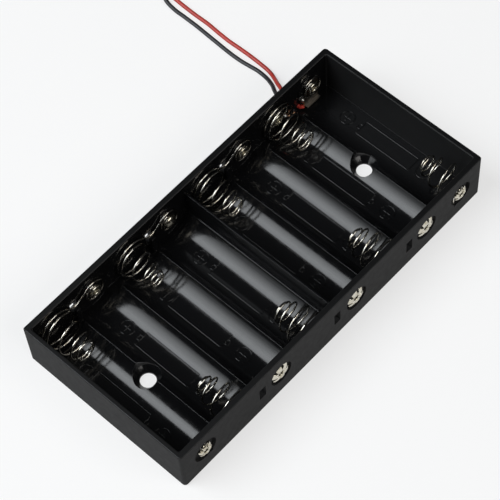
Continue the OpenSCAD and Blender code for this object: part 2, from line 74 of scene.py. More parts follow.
# Driving sizes, as in the CAD model
cell_d = 14.5 * MM
pitch = 15.2 * MM
middle_foot = 1.0 * MM
long_wall = 1.95 * MM
end_wall = 1.5 * MM
floor_t = 2.0 * MM
trough_r = 9.3 * MM
draft = 0.37 * MM
wire_d = 0.65 * MM
spring_len = 12.5 * MM
spring_base_r = 5.9 * MM
ring_r = 3.3 * MM
ring_lead_in = 1.1 * MM
ring_lift = 0.3 * MM
spring_drop = 0.25 * MM
post_lift = 1.15 * MM
rivet_d = 2.6 * MM
head_r = 2.15 * MM
head_t = 0.5 * MM
petal_r = 3.7 * MM
small_petal_r = 2.6 * MM
recess_depth = 0.7 * MM
deep_recess = 1.0 * MM
link_d = 0.6 * MM
post_t = 1.6 * MM
pad_t = 0.3 * MM
tag_t = 0.3 * MM
fit = 0.05 * MM
lead_d = 1.3 * MM

tray_h = tray_high.z
wall_y = tray_high.y - long_wall
inner_x = tray_high.x - end_wall
trough_z = floor_t + trough_r
cell_z = floor_t + cell_d / 2
ring_z = cell_z + ring_lift
spring_z = cell_z - spring_drop
post_z = cell_z + post_lift
ring_y = wall_y - pad_t - wire_d / 2 - fit
eye_y = wall_y - wire_d / 2 - fit
tagged_base_y = eye_y - tag_t
tagged_ring_y = ring_y - tag_t


def cell_x(n):
    """X of a cell's axis, counted from 1 at the -X end."""
    half = CELLS // 2
    return (n - half - 0.5) * pitch + (middle_foot / 2 if n > half else -middle_foot / 2)


def divider_x(n):
    """X of the divider between cell n and the next."""
    return (cell_x(n) + cell_x(n + 1)) / 2


def outer_y(z):
    """Y of a long wall's outer face at height z."""
    return tray_high.y - draft * (tray_h - z) / tray_h


# Meshes


def new_object(name, verts, faces, smooth=True):
    """Mesh object from points and faces."""
    mesh = bpy.data.meshes.new(name)
    mesh.from_pydata([tuple(v) for v in verts], [], faces)
    mesh.validate()
    if smooth:
        mesh.shade_smooth()
    obj = bpy.data.objects.new(name, mesh)
    bpy.context.scene.collection.objects.link(obj)
    return obj


def path_frames(path):
    """Direction and side vector at each point of a path, carried along without twist."""
    last = len(path) - 1
    frames = []
    side = None
    for i in range(len(path)):
        ahead = (path[min(i + 1, last)] - path[max(i - 1, 0)]).normalized()
        if side is None:
            side = ahead.orthogonal().normalized()
        else:
            side = (side - ahead * side.dot(ahead)).normalized()
        frames.append((ahead, side))
    return frames


ROUND_END = ((0.5, 0.3), (0.35, 0.75), (0.0, 1.0))
CUT_END = ((0.04, 0.9), (0.0, 1.0))


def tube_mesh(paths, radius, sides=12, end=ROUND_END):
    """Points and faces of round wires, one for each path; end holds the end rings' shifts and shares."""
    verts = []
    faces = []
    for path in paths:
        rings = []
        last = len(path) - 1
        for i, (ahead, side) in enumerate(path_frames(path)):
            other = ahead.cross(side)
            steps = [(0.0, 1.0)]
            if i == 0:
                steps = [(-shift, share) for shift, share in end]
            elif i == last:
                steps = list(reversed(end))
            for shift, share in steps:
                rings.append(len(verts))
                for k in range(sides):
                    a = math.tau * k / sides
                    out = side * math.cos(a) + other * math.sin(a)
                    verts.append(path[i] + ahead * (shift * radius) + out * (radius * share))
        for a, b in zip(rings, rings[1:]):
            for k in range(sides):
                j = (k + 1) % sides
                faces.append((a + k, a + j, b + j, b + k))
        faces.append(tuple(rings[0] + k for k in reversed(range(sides))))
        faces.append(tuple(rings[-1] + k for k in range(sides)))
    return verts, faces


def smooth_path(points, spacing):
    """Curve through the points, with a point about every given length."""
    pts = [Vector(p) for p in points]
    count = len(pts)
    out = []
    for i in range(count - 1):
        p0, p1 = pts[max(i - 1, 0)], pts[i]
        p2, p3 = pts[i + 1], pts[min(i + 2, count - 1)]
        span = (p2 - p1).length
        before = (p1 - p0).length
        after = (p3 - p2).length
        t1 = t2 = p2 - p1
        if i > 0:
            t1 = ((p1 - p0) / before * span + (p2 - p1) * before / span) * (span / (before + span))
        if i < count - 2:
            t2 = ((p2 - p1) / span * after + (p3 - p2) * span / after) * (span / (after + span))
        steps = max(1, round(span / spacing))
        for k in range(steps):
            t = k / steps
            t_2, t_3 = t * t, t * t * t
            out.append(
                p1 * (2 * t_3 - 3 * t_2 + 1)
                + t1 * (t_3 - 2 * t_2 + t)
                + p2 * (3 * t_2 - 2 * t_3)
                + t2 * (t_3 - t_2)
            )
    out.append(pts[-1])
    return out


def eased(t, knots):
    """Value at t of a smooth curve through the knots."""
    if t <= knots[0][0]:
        return knots[0][1]
    for i in range(len(knots) - 1):
        (t0, v0), (t1, v1) = knots[i], knots[i + 1]
        if t <= t1:
            slope = (v1 - v0) / (t1 - t0)
            before = (v0 - knots[i - 1][1]) / (t0 - knots[i - 1][0]) if i > 0 else slope
            after = slope
            if i + 2 < len(knots):
                after = (knots[i + 2][1] - v1) / (knots[i + 2][0] - t1)
            m0 = 2 * before * slope / (before + slope) if before * slope > 0 else 0.0
            m1 = 2 * after * slope / (after + slope) if after * slope > 0 else 0.0
            h = t1 - t0
            s = (t - t0) / h
            s_2, s_3 = s * s, s * s * s
            return (
                v0 * (2 * s_3 - 3 * s_2 + 1)
                + m0 * h * (s_3 - 2 * s_2 + s)
                + v1 * (3 * s_2 - 2 * s_3)
                + m1 * h * (s_3 - s_2)
            )
    return knots[-1][1]


def turned_mesh(profile, sides, place, closed=True):
    """Points and faces of a turned profile of (radius, height) points; place sets each point."""
    verts = []
    for r, h in profile:
        for k in range(sides):
            a = math.tau * k / sides
            verts.append(place(r * math.cos(a), r * math.sin(a), h))
    faces = []
    rows = len(profile)
    for i in range(rows if closed else rows - 1):
        a = i * sides
        b = (i + 1) % rows * sides
        for k in range(sides):
            j = (k + 1) % sides
            faces.append((a + k, a + j, b + j, b + k))
    return verts, faces


def add_mesh(into, more):
    """Adds points and faces to another pair of them."""
    verts, faces = into
    start = len(verts)
    verts.extend(more[0])
    faces.extend(tuple(start + i for i in face) for face in more[1])


# Materials


class Shader:
    """A material's node tree, with short calls for the nodes used here."""

    def __init__(self, name):
        self.material = bpy.data.materials.new(name)
        self.material.use_nodes = True
        self.tree = self.material.node_tree
        self.tree.nodes.clear()
        self.out = self.node("ShaderNodeOutputMaterial")
        self.bsdf = self.node("ShaderNodeBsdfPrincipled")
        self.link(self.bsdf.outputs["BSDF"], self.out.inputs["Surface"])
        self.place = self.node("ShaderNodeTexCoord").outputs["Object"]

    def node(self, kind, **values):
        made = self.tree.nodes.new(kind)
        for key, value in values.items():
            if hasattr(made, key) and key not in made.inputs:
                setattr(made, key, value)
            else:
                made.inputs[key].default_value = value
        return made

    def link(self, a, b):
        self.tree.links.new(a, b)

    def set(self, **values):
        for key, value in values.items():
            self.bsdf.inputs[key.replace("_", " ")].default_value = value

    def noise(self, scale, detail=3.0, stretch=None):
        """Noise over the object, with its scale in features a metre."""
        made = self.node("ShaderNodeTexNoise", Scale=scale, Detail=detail)
        source = self.place
        if stretch:
            turned = self.node("ShaderNodeMapping")
            turned.inputs["Scale"].default_value = stretch
            self.link(source, turned.inputs["Vector"])
            source = turned.outputs["Vector"]
        self.link(source, made.inputs["Vector"])
        return made.outputs["Fac"]

    def ranged(self, source, low, high, to_low, to_high):
        """Source value mapped from one range to another, held at its ends."""
        made = self.node("ShaderNodeMapRange")
        ends = {"From Min": low, "From Max": high, "To Min": to_low, "To Max": to_high}
        for key, value in ends.items():
            made.inputs[key].default_value = value
        self.link(source, made.inputs["Value"])
        return made.outputs["Result"]

    def math(self, operation, a, b):
        """Two numbers or sockets put through the named operation."""
        made = self.node("ShaderNodeMath", operation=operation)
        for socket, value in zip(made.inputs, (a, b)):
            if isinstance(value, (int, float)):
                socket.default_value = value
            else:
                self.link(value, socket)
        return made.outputs["Value"]

    def mix(self, factor, a, b):
        """Colour mix; a and b are colours or sockets."""
        made = self.node("ShaderNodeMix", data_type="RGBA")
        self.link(factor, made.inputs["Factor"])
        for socket, value in ((made.inputs[6], a), (made.inputs[7], b)):
            if isinstance(value, tuple):
                socket.default_value = (*value, 1.0)
            else:
                self.link(value, socket)
        return made.outputs[2]

    def mix_value(self, factor, a, b):
        """Number mix; a and b are numbers or sockets."""
        made = self.node("ShaderNodeMix", data_type="FLOAT")
        self.link(factor, made.inputs[0])
        for socket, value in ((made.inputs[2], a), (made.inputs[3], b)):
            if isinstance(value, (int, float)):
                socket.default_value = value
            else:
                self.link(value, socket)
        return made.outputs[0]

    def bump(self, height, strength, distance, below=None):
        """Normal bent by a height, on top of the one below."""
        made = self.node("ShaderNodeBump", Strength=strength, Distance=distance)
        self.link(height, made.inputs["Height"])
        if below is not None:
            self.link(below, made.inputs["Normal"])
        return made.outputs["Normal"]

    def axis_of(self, socket, axis):
        """One axis of a vector socket."""
        made = self.node("ShaderNodeSeparateXYZ")
        self.link(socket, made.inputs["Vector"])
        return made.outputs[axis]

    def normal_axis(self, axis):
        """One axis of the face's own normal."""
        geometry = self.node("ShaderNodeNewGeometry")
        return self.axis_of(geometry.outputs["True Normal"], axis)

    def drive(self, key, source):
        """Feeds an input of the surface from a socket."""
        self.link(source, self.bsdf.inputs[key])


INNER_BLACK = (0.0048, 0.0049, 0.0054)
OUTER_BLACK = (0.006, 0.006, 0.0064)
RIM_BLACK = (0.003, 0.0031, 0.0034)
DUST_GREY = (0.035, 0.035, 0.036)
EDGE_R = 0.13 * MM
INNER_ROUGH = (0.1, 0.17)
OUTER_ROUGH = (0.78, 0.88)
END_WALL_ROUGH = 0.6
RIM_ROUGH = 0.4
RIM_BAND = (0.5 * MM, 0.2 * MM)
FACE_BAND = (0.05 * MM, 0.1 * MM)
END_WALL_BAND = (0.5 * MM, 0.1 * MM)

# Noise scales, in features a metre, and the span that noise mostly stays in
WAVES = 150
MOTTLE = 500
SHADE_PATCHES = 700
TARNISH = 900
HANDLING = 1800
RUBBING = 2600
FINE = 3000
DUST = 3400
TEXTURE = 3500
GRAIN = 7000
SCRATCHES = 9000
NOISE_SPAN = (0.3, 0.7)
DUST_SPAN = (0.68, 0.76)
DUST_SHARE = 0.35
ALONG_DRAWING = (1.0, 1.0, 0.15)
FINE_DEPTH = 0.01 * MM


def moulding_material(name):
    """Black moulding: glossy inside, grainy and matte outside, satin on the rim, with softened edges."""
    s = Shader(name)
    s.set(IOR=1.46)
    height = s.axis_of(s.place, "Z")
    high = s.ranged(height, tray_h - RIM_BAND[0], tray_h - RIM_BAND[1], 0, 1)
    flat = s.ranged(s.normal_axis("Z"), 0.6, 0.95, 0, 1)
    rim = s.math("MULTIPLY", high, flat)
    from_middle = s.math("ABSOLUTE", s.axis_of(s.place, "X"), 0)
    from_row = s.math("ABSOLUTE", s.axis_of(s.place, "Y"), 0)
    past_end = s.ranged(from_middle, inner_x + FACE_BAND[0], inner_x + FACE_BAND[1], 0, 1)
    past_side = s.ranged(from_row, wall_y + FACE_BAND[0], wall_y + FACE_BAND[1], 0, 1)
    outer = s.math("MAXIMUM", past_end, past_side)
    mottle = s.noise(MOTTLE, 4)
    colour = s.mix(outer, INNER_BLACK, OUTER_BLACK)
    colour = s.mix(rim, colour, RIM_BLACK)
    dust = s.ranged(s.noise(DUST, 5), *DUST_SPAN, 0, 1)
    colour = s.mix(s.math("MULTIPLY", dust, DUST_SHARE), colour, DUST_GREY)
    s.drive("Base Color", colour)
    on_end_wall = s.ranged(from_middle, inner_x - END_WALL_BAND[0], inner_x - END_WALL_BAND[1], 0, 1)
    inner_rough = s.mix_value(on_end_wall, s.ranged(mottle, *NOISE_SPAN, *INNER_ROUGH), END_WALL_ROUGH)
    rough = s.mix_value(outer, inner_rough, s.ranged(mottle, *NOISE_SPAN, *OUTER_ROUGH))
    s.drive("Roughness", s.mix_value(rim, rough, RIM_ROUGH))
    rounded = s.node("ShaderNodeBevel", samples=6, Radius=EDGE_R).outputs["Normal"]
    waves = s.bump(s.noise(WAVES, 2), 0.12, 0.12 * MM, rounded)
    grain = s.math("MULTIPLY", s.noise(GRAIN, 3), outer)
    s.drive("Normal", s.bump(grain, 0.35, 0.03 * MM, waves))
    return s.material


def metal_material(name, colour, warm, rough, drawn):
    """Plated metal with fine scratches; warm is the colour of its tarnish."""
    s = Shader(name)
    s.set(Metallic=1.0)
    patch = s.ranged(s.noise(TARNISH, 3), 0.45, 0.75, 0, 1)
    s.drive("Base Color", s.mix(patch, colour, warm))
    s.drive("Roughness", s.ranged(s.noise(RUBBING, 4), *NOISE_SPAN, rough * 0.75, rough * 1.3))
    scratch = s.noise(SCRATCHES, 2, ALONG_DRAWING)
    s.drive("Normal", s.bump(scratch, 0.15 + drawn, FINE_DEPTH))
    return s.material


TAG_BRIGHT = (0.8, 0.79, 0.77)
# Painted shade for the tag's upright face, in two tones mixed at random
PAINTED_SHADE_DARK = (0.05, 0.04, 0.03)
PAINTED_SHADE_PALE = (0.12, 0.1, 0.08)


def tag_material(name):
    """Tinned tag, bright on top; its upright face is rougher and painted dark as shade."""
    s = Shader(name)
    s.set(Metallic=1.0)
    top = s.ranged(s.normal_axis("Z"), 0.5, 0.8, 0, 1)
    shade_patches = s.ranged(s.noise(SHADE_PATCHES, 4), 0.35, 0.65, 0, 1)
    # Painted shade: upright faces take a dark colour in place of the tin's, standing for the dark
    # surroundings they reflect; the top keeps the tin's own colour
    painted_shade = s.mix(shade_patches, PAINTED_SHADE_DARK, PAINTED_SHADE_PALE)
    s.drive("Base Color", s.mix(top, painted_shade, TAG_BRIGHT))
    s.drive("Roughness", s.mix_value(top, 0.5, 0.28))
    s.drive("Normal", s.bump(s.noise(FINE, 3), 0.2, FINE_DEPTH))
    return s.material


def plastic_material(name, colour, rough, grain):
    """Soft insulation or strip, with a slight mottle."""
    s = Shader(name)
    shade = s.ranged(s.noise(MOTTLE, 3), *NOISE_SPAN, 0, 1)
    darker = tuple(c * 0.82 for c in colour)
    s.drive("Base Color", s.mix(shade, darker, colour))
    s.drive("Roughness", s.ranged(s.noise(HANDLING, 3), *NOISE_SPAN, rough - 0.06, rough + 0.06))
    s.drive("Normal", s.bump(s.noise(TEXTURE, 3), grain, 2 * FINE_DEPTH))
    return s.material


# Each metal as its colour, the colour of its tarnish, its roughness and how deep its drawing lines are
METALS = {
    "spring_wire": ((0.66, 0.64, 0.59), (0.46, 0.4, 0.29), 0.14, 0.1),
    "rivet_metal": ((0.66, 0.63, 0.54), (0.42, 0.37, 0.25), 0.22, 0.0),
    "solder": ((0.58, 0.58, 0.57), (0.4, 0.38, 0.34), 0.34, 0.0),
    "link_wire": ((0.72, 0.71, 0.68), (0.58, 0.52, 0.42), 0.3, 0.0),
    "copper_strands": ((0.82, 0.5, 0.32), (0.7, 0.36, 0.2), 0.3, 0.0),
}
# Each plastic as its colour, roughness and grain
PLASTICS = {
    "black_insulation": ((0.02, 0.021, 0.024), 0.4, 0.1),
    "red_insulation": ((0.56, 0.05, 0.035), 0.38, 0.1),
    "tie_strip": ((0.78, 0.78, 0.76), 0.6, 0.2),
}
materials = {
    "black_moulding": moulding_material("black_moulding"),
    "tag_metal": tag_material("tag_metal"),
}
for name, look in METALS.items():
    materials[name] = metal_material(name, *look)
for name, look in PLASTICS.items():
    materials[name] = plastic_material(name, *look)


def dress(obj, slot):
    """Gives a piece its material and names the record's slot that it stands for."""
    obj.data.materials.clear()
    obj.data.materials.append(materials[slot])


def fixed_piece(name, mesh, slot, *replaced):
    """Piece on the tray's body, from points and faces, in place of the named nodes."""
    piece = new_object(name, *mesh)
    dress(piece, slot)
    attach(piece, "root")
    if replaced:
        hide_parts(*replaced)
    return piece


node_slots = {row["node"]: row["material_slot"] for row in frame["record"]["subparts"]}
for node, obj in nodes.items():
    dress(obj, node_slots[node])


# Tray: a copy of the CAD tray with more upright outer faces and tighter corners, as photographed

# Corner radii in the CAD model and as shown; how near a face its vertices lie; the share of the draft
# that the end walls lose; and how much further out the right end wall stands
CAD_CORNER_R = 1.5 * MM
RIGHT_CORNER_R = 0.95 * MM
LEFT_CORNER_R = 0.65 * MM
NEAR_CORNER_R = 1.1 * MM
EDGE_REACH = 0.34 * MM
END_SHARE = 0.5
RIGHT_GAIN = 0.17 * MM


def pulled_out(x, y, z, corner_r, end_gain):
    """Point of the tray's outer faces, moved out against the draft and towards tighter corners."""
    inset = draft * (1 - z / tray_h)
    half_x, half_y = tray_high.x - inset, tray_high.y - inset
    in_x = x - (half_x - CAD_CORNER_R)
    in_y = y - (half_y - CAD_CORNER_R)
    reach = math.hypot(in_x, in_y)
    end_more = inset * END_SHARE + end_gain
    more_x = end_more if x > half_x - EDGE_REACH else 0.0
    more_y = inset if y > half_y - EDGE_REACH else 0.0
    if in_x > -fit and in_y > -fit and reach > CAD_CORNER_R - EDGE_REACH:
        gain = CAD_CORNER_R - corner_r
        more_x = end_more + gain * (1 - in_x / reach)
        more_y = inset + gain * (1 - in_y / reach)
    return x + more_x, y + more_y


def shown_tray():
    """Copy of the tray's mesh that replaces the node."""
    mesh = nodes["tray"].data.copy()
    mesh.name = "tray_shown"
    for vertex in mesh.vertices:
        x, y, z = vertex.co
        end_gain, side_r = (RIGHT_GAIN, RIGHT_CORNER_R) if x > 0 else (0, LEFT_CORNER_R)
        corner_r = NEAR_CORNER_R if x * y > 0 else side_r
        new_x, new_y = pulled_out(abs(x), abs(y), z, corner_r, end_gain)
        vertex.co = (math.copysign(new_x, x), math.copysign(new_y, y), z)
    mesh.update()
    obj = bpy.data.objects.new("tray_shown", mesh)
    bpy.context.scene.collection.objects.link(obj)
    dress(obj, "black_moulding")
    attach(obj, "root")
    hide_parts("tray")


shown_tray()

# Contact springs

TURNS = 5
REAR_START, FRONT_START = 42, 12
# Knots (turn, share) of how far out the wire has come and how wide it still is
REAR_RISE = [(0, 0), (0.8, 0.06), (1.6, 0.24), (2.4, 0.5), (3.2, 0.76), (4, 0.93), (TURNS, 1)]
REAR_TAPER = [(0, 1), (0.8, 0.98), (1.6, 0.8), (2.4, 0.56), (3.2, 0.34), (4, 0.12), (TURNS, 0)]
FRONT_RISE = [
    (0, 0), (0.7, 0.05), (1.4, 0.28), (2.1, 0.52),
    (2.8, 0.75), (3.6, 0.92), (4.3, 0.96), (TURNS, 1),
]
FRONT_TAPER = [
    (0, 0.98), (0.7, 0.98), (1.4, 0.91), (2.1, 0.77),
    (2.8, 0.54), (3.6, 0.28), (4.3, 0.11), (TURNS, 0),
]
FREE_FROM = 1.2
STEPS_A_TURN = 56
WIRE_SIDES = 14
SHOWN_WIRE_R = 0.295 * MM

# How each spring sits: sideways shift of its free turns, lift and radius of its tip, girth, reach, and
# how far its middle turns lag behind the others
SPRING_LOOKS = {
    1: (-0.1 * MM, 0.4 * MM, 2.9 * MM, 1.04, 1.05, -0.03),
    2: (-1.2 * MM, 0.7 * MM, 2.4 * MM, 0.88, 1.01, -0.01),
    3: (-0.85 * MM, 0.0, 2.4 * MM, 0.93, 0.97, 0.02),
    4: (-0.1 * MM, 0.0, 2.4 * MM, 1.0, 0.96, 0.0),
    5: (-0.2 * MM, 0.1 * MM, 2.8 * MM, 1.0, 1.02, -0.03),
    6: (-0.3 * MM, 0.3 * MM, 2.4 * MM, 0.96, 0.98, -0.04),
    7: (-0.1 * MM, -0.2 * MM, 3.1 * MM, 1.0, 1.0, 0.0),
    8: (1.3 * MM, 1.0 * MM, 2.4 * MM, 0.95, 1.02, 0.1),
}


def start_angle(side):
    """Angle in degrees of a spring's foot, seen along +Y."""
    return REAR_START if side > 0 else FRONT_START


def spring_point(n, side, t, y0):
    """Point of cell n's spring at turn t, on the rear wall for side 1 and the front for -1."""
    shift, lift, tip_r, girth, reach, lag = SPRING_LOOKS[n]
    rise = eased(t, REAR_RISE if side > 0 else FRONT_RISE)
    taper = eased(t, REAR_TAPER if side > 0 else FRONT_TAPER)
    rise -= lag * 4 * rise * (1 - rise)
    free = eased(t, [(0, 0), (FREE_FROM, 1)])
    r = tip_r + (spring_base_r - tip_r) * taper
    r *= 1 + (girth - 1) * free
    a = math.radians(start_angle(side) + side * 360 * t)
    y = y0 - rise * (spring_len - wire_d / 2 - wall_y + y0) * reach
    x = cell_x(n) + shift * free + r * math.cos(a)
    return Vector((x, side * y, spring_z + lift * rise + r * math.sin(a)))


def spring_path(n, side, y0):
    """Spring of cell n from its tip to its foot."""
    count = round(TURNS * STEPS_A_TURN)
    return [spring_point(n, side, i / STEPS_A_TURN, y0) for i in range(count, -1, -1)]


def arc_xz(x, z, r, start, end, steps, y):
    """Arc in an upright plane at y, from one angle to another in degrees."""
    out = []
    for i in range(steps + 1):
        a = math.radians(start + (end - start) * i / steps)
        out.append(Vector((x + r * math.cos(a), y, z + r * math.sin(a))))
    return out


# Rings: a wide turn, then a close one under the eyelet's head

RING_START = 130
RING_TURNS = 2.15
RING_STEPS = 48
eye_r = rivet_d / 2 + wire_d / 2 + 2 * fit
RING_SPIRAL = [
    (0, ring_r + ring_lead_in),
    (0.15, ring_r + 0.7 * ring_lead_in),
    (0.36, ring_r + 0.2 * ring_lead_in),
    (0.6, ring_r),
    (0.85, ring_r - 0.15 * MM),
    (1.05, (2 * ring_r + eye_r) / 3),
    (1.3, eye_r),
    (RING_TURNS, eye_r),
]


def ring_path(n, side, y):
    """Ring of cell n from its wide end to the eye under the eyelet."""
    out = []
    for i in range(round(RING_TURNS * RING_STEPS) + 1):
        t = i / RING_STEPS
        r = eased(t, RING_SPIRAL)
        a = math.radians(RING_START - 360 * t)
        out.append(Vector((cell_x(n) + r * math.cos(a), side * y, ring_z + r * math.sin(a))))
    return out


# How the wire leaves a spring's foot, how far above the post it comes, and how it sags past it
REAR_LEAVE = (1.2 * MM, -1.2 * MM)
FRONT_LEAVE = (0.2 * MM, 0.5 * MM)
BEFORE_POST = 0.2 * MM
LINK_SAG = 0.15 * MM


def link_points(n, side, ring_first):
    """Points of the link between a spring's foot and the next cell's ring."""
    foot = spring_point(n, side, 0, ring_y)
    rest_z = post_z + wire_d / 2 + fit
    over = (wire_d + post_t) / 2
    leave_x, leave_z = REAR_LEAVE if side > 0 else FRONT_LEAVE
    past = Vector((divider_x(n) + over, side * ring_y, rest_z))
    return [
        Vector((foot.x + leave_x, side * ring_y, foot.z + leave_z)),
        Vector((divider_x(n) - over, side * ring_y, rest_z + BEFORE_POST)),
        past,
        (ring_first + past) / 2 - Vector((0, 0, LINK_SAG)),
    ]


WIRE_SPACING = 0.12 * MM


def double_contact_path(n, side):
    """Whole wire of a double contact: cell n's spring, the link over the post, the next cell's ring."""
    spring = spring_path(n, side, ring_y)
    ring = ring_path(n + 1, side, ring_y)
    middle = [spring[-4], spring[-1], *link_points(n, side, ring[0]), ring[0], ring[3]]
    return spring[:-4] + smooth_path(middle, WIRE_SPACING) + ring[4:]


BEND_STEP = 22
EYE_SWEEP = 300
EYE_STEPS = 60


def single_spring_path(n, side, y0):
    """Whole wire of a single spring, from its tip to the eye under the eyelet."""
    spring = spring_path(n, side, y0)
    foot = spring[-1]
    reach = math.hypot(foot.x - cell_x(n), foot.z - ring_z)
    bend = []
    for step in (1, 2, 3):
        r = reach + (eye_r - reach) * step / 4
        a = math.radians(start_angle(side) - side * BEND_STEP * step)
        bend.append(Vector((cell_x(n) + r * math.cos(a), side * y0, ring_z + r * math.sin(a))))
    eye_start = start_angle(side) - side * 4 * BEND_STEP
    eye_end = eye_start - side * EYE_SWEEP
    eye = arc_xz(cell_x(n), ring_z, eye_r, eye_start, eye_end, EYE_STEPS, side * y0)
    middle = smooth_path([spring[-4], foot, *bend, eye[0], eye[3]], WIRE_SPACING)
    return spring[:-4] + middle + eye[4:]


def contact_piece(node, n, side, path):
    """Wire contact that replaces its CAD node."""
    verts, faces = tube_mesh([path], SHOWN_WIRE_R, WIRE_SIDES)
    piece = new_object(node + "_wire", verts, faces)
    dress(piece, "spring_wire")
    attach(piece, f"spring_{n}_wire")
    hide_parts(node)
    tip = path[0]
    tuple(tip)
    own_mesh(piece)


for first, side in ((1, 1), (3, 1), (5, 1), (2, -1), (4, -1), (6, -1)):
    contact_piece(f"contact_{first}_{first + 1}", first, side, double_contact_path(first, side))
contact_piece("spring_7", 7, 1, single_spring_path(7, 1, tagged_base_y))
contact_piece("spring_8", 8, -1, single_spring_path(8, -1, eye_y))
for n, side, y in ((1, -1, ring_y), (8, 1, tagged_ring_y)):
    ring_mesh = tube_mesh([ring_path(n, side, y)], SHOWN_WIRE_R, WIRE_SIDES)
    fixed_piece(f"ring_{n}_wire", ring_mesh, "spring_wire", f"ring_{n}")


# Eyelets: a rolled head inside, and six petals rolled over outside

PETALS = 6
PETAL_T = 0.28 * MM
RIVET_WALL = 0.35 * MM
HEAD_SIDES = 40
ROLL_STEPS = 12
DOMED_CELL = 4
DOME_R = 2.3 * MM
DOME_T = 1.25 * MM
NEAR_AXIS = 0.02 * MM
HEAD_LIP = (0.1 * MM, 0.04 * MM)
SHANK_SHORT = 0.3 * MM


def eyelet_place(n, side):
    """Function that sets a point across the eyelet's axis and along it, from y = 0 outwards."""
    def place(across, up, along):
        return Vector((cell_x(n) + across, side * along, ring_z + up))
    return place


def eyelet_head(head_y, outer_end, domed):
    """Profile of the head and shank, from the bore round the roll to the outside of the shank."""
    shank_r = rivet_d / 2
    bore_r = shank_r - RIVET_WALL
    roll_r = (head_r - bore_r) / 2
    profile = [(bore_r, outer_end), (bore_r, head_y)]
    for i in range(1, ROLL_STEPS + 1):
        a = math.pi * i / ROLL_STEPS
        profile.append((bore_r + roll_r - roll_r * math.cos(a), head_y - head_t * math.sin(a)))
    if domed:
        profile = [(NEAR_AXIS, outer_end), (NEAR_AXIS, head_y - DOME_T)]
        for i in range(1, ROLL_STEPS + 1):
            a = math.pi / 2 * i / ROLL_STEPS
            profile.append((DOME_R * math.sin(a), head_y - DOME_T * math.cos(a)))
    lip_y = head_y + HEAD_LIP[1]
    return profile + [(head_r - HEAD_LIP[0], lip_y), (shank_r, lip_y), (shank_r, outer_end)]


PETAL_ROWS = 12
PETAL_COLUMNS = 10
PETAL_TURN = math.radians(12)
CREST_H = 0.62 * MM
ROOT_H = 0.1 * MM
CURL = 0.22 * MM
TIP_FROM = 0.72
TIP_NARROWS = 0.75


def petal_mesh(place, k, r_out, seat):
    """One petal: a tongue split from the shank's end, rolled out and down onto the wall."""
    bore_r = rivet_d / 2 - RIVET_WALL
    rows, columns = PETAL_ROWS, PETAL_COLUMNS
    half_angle = math.pi / PETALS
    verts = []
    for layer in (0, 1):
        for i in range(rows + 1):
            v = i / rows
            r = bore_r + (r_out - bore_r) * v
            arch = math.sin(math.pi * min(1.0, 0.12 + 0.88 * v) ** 0.8)
            crest = CREST_H * arch + ROOT_H * (1 - v)
            height = seat + crest + (PETAL_T if layer == 0 else 0.0)
            width = half_angle * (0.97 - 0.42 * v ** 1.4)
            if v > TIP_FROM:
                near_tip = (v - TIP_FROM) / (1 - TIP_FROM)
                width *= 1 - TIP_NARROWS * (1 - math.sqrt(max(0.0, 1 - near_tip ** 2)))
            for j in range(columns + 1):
                u = 2 * j / columns - 1
                a = math.tau * (k + 0.5) / PETALS + PETAL_TURN + u * width
                verts.append(place(r * math.cos(a), r * math.sin(a), height - CURL * u * u * v))
    faces = []
    size = (rows + 1) * (columns + 1)
    for i in range(rows):
        for j in range(columns):
            a = i * (columns + 1) + j
            b = a + columns + 1
            faces.append((a, a + 1, b + 1, b))
            faces.append((size + a, size + b, size + b + 1, size + a + 1))
    border = list(range(columns + 1))
    border += [i * (columns + 1) + columns for i in range(1, rows + 1)]
    border += [rows * (columns + 1) + j for j in range(columns - 1, -1, -1)]
    border += [i * (columns + 1) for i in range(rows - 1, 0, -1)]
    for a, b in zip(border, border[1:] + border[:1]):
        faces.append((a, size + a, size + b, b))
    return verts, faces


def eyelet(n, side, head_y):
    """Whole eyelet of cell n's riveted contact."""
    name = f"rivet_{'rear' if side > 0 else 'front'}_{n}"
    held_link = side < 0 and n in (1, CELLS)
    depth = deep_recess if held_link else recess_depth
    seat = outer_y(ring_z) - depth + (link_d + 2 * fit if held_link else fit)
    place = eyelet_place(n, side)
    mesh = ([], [])
    head = eyelet_head(head_y, seat + SHANK_SHORT, side > 0 and n == DOMED_CELL)
    add_mesh(mesh, turned_mesh(head, HEAD_SIDES, place))
    for k in range(PETALS):
        add_mesh(mesh, petal_mesh(place, k, small_petal_r if held_link else petal_r, seat))
    fixed_piece(name + "_eyelet", mesh, "rivet_metal", name)


under_ring = ring_y - wire_d / 2 - fit
for n in (2, 4, 6):
    eyelet(n, 1, under_ring)
for n in (1, 3, 5, 7):
    eyelet(n, -1, under_ring)
eyelet(7, 1, tagged_base_y - wire_d / 2 - fit)
eyelet(8, 1, tagged_ring_y - wire_d / 2 - fit)
eyelet(8, -1, eye_y - wire_d / 2 - fit)


# Moulded marks: a cell's outline and its polarity signs, as fine ridges on each bay's floor

MARK_R = 0.17 * MM
MARK_STEP = 0.5 * MM
RECT_HALF_W = 2.55 * MM
NUB_HALF_W = 0.8 * MM
NUB_LEN = 1.1 * MM
SIGN_R = 2.3 * MM
ARM_SHARE = 0.6
MARK_SIDES = 8
# Distances from the middle of the bay to the outline's plus and minus ends, in even and odd bays
EVEN_ENDS = (9.85 * MM, 10.35 * MM)
ODD_ENDS = (8.85 * MM, 11.5 * MM)
PLUS_OFF = 15.3 * MM
MINUS_OFF = 14.3 * MM


def floor_z(n, x):
    """Height of a bay's floor at x; beyond the axis of the end bays the floor is flat."""
    across = x - cell_x(n)
    if (n == 1 and across < 0) or (n == CELLS and across > 0):
        return floor_t
    return trough_z - math.sqrt(trough_r ** 2 - across ** 2)


